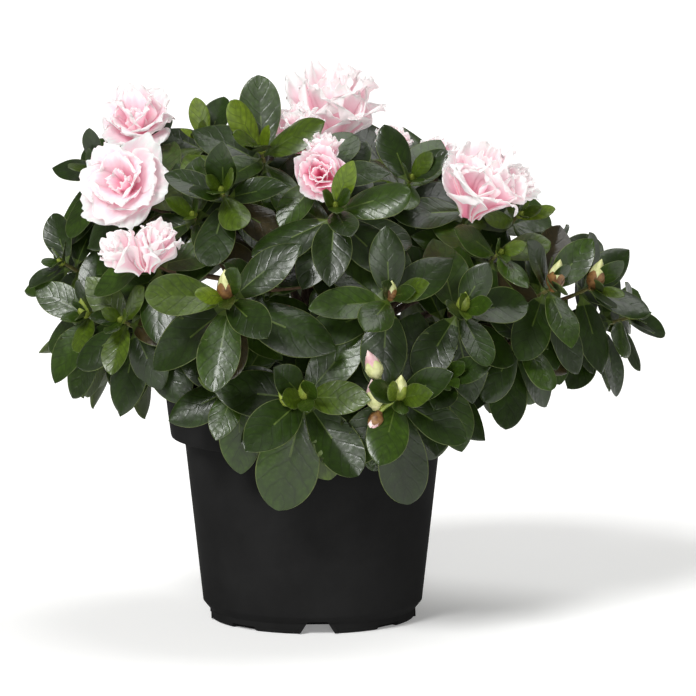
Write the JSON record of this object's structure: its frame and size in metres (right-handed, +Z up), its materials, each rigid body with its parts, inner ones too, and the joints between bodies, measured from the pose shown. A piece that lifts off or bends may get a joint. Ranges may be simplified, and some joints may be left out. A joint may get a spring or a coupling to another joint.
{
  "type": "potted azalea shrub",
  "caption": "Bushy evergreen azalea with glossy leaves, plump buds and ruffled pale pink blooms, standing in a tapered black plastic nursery pot with a collar rim and a notched foot.",
  "frame": {"origin": "centre of the pot's flat underside", "axes": "+Z up along the pot's axis, +X to the right seen from the front, +Y towards the back; the foliage spreads widest along X"},
  "size_m": [0.251, 0.2179, 0.2192],
  "materials": {
    "pot": "satin moulded black plastic",
    "soil": "moist brown peat",
    "bark": "fine brown bark",
    "foliage": "glossy dark green leaves with pale pink blooms"
  },
  "bodies": {
    "root": {"pot": "pot", "root_ball": "soil", "trunk": "bark", "bough_left_low": "bark", "foliage_left_low": "foliage", "bough_left_high": "bark", "foliage_left_high": "foliage", "bough_left_front": "bark", "foliage_left_front": "foliage", "bough_top_left": "bark", "foliage_top_left": "foliage", "bough_top_middle": "bark", "foliage_top_middle": "foliage", "bough_middle_front": "bark", "foliage_middle_front": "foliage", "bough_top_right": "bark", "foliage_top_right": "foliage", "bough_right_middle": "bark", "foliage_right_middle": "foliage", "bough_right_low": "bark", "foliage_right_low": "foliage", "bough_low_left": "bark", "foliage_low_left": "foliage", "bough_low_right": "bark", "foliage_low_right": "foliage", "bough_back_low_1": "bark", "foliage_back_low_1": "foliage", "bough_back_low_2": "bark", "foliage_back_low_2": "foliage", "bough_back_low_3": "bark", "foliage_back_low_3": "foliage", "bough_back_low_4": "bark", "foliage_back_low_4": "foliage", "bough_back_high_1": "bark", "foliage_back_high_1": "foliage", "bough_back_high_2": "bark", "foliage_back_high_2": "foliage", "bough_back_high_3": "bark", "foliage_back_high_3": "foliage"}
  },
  "joints": []
}
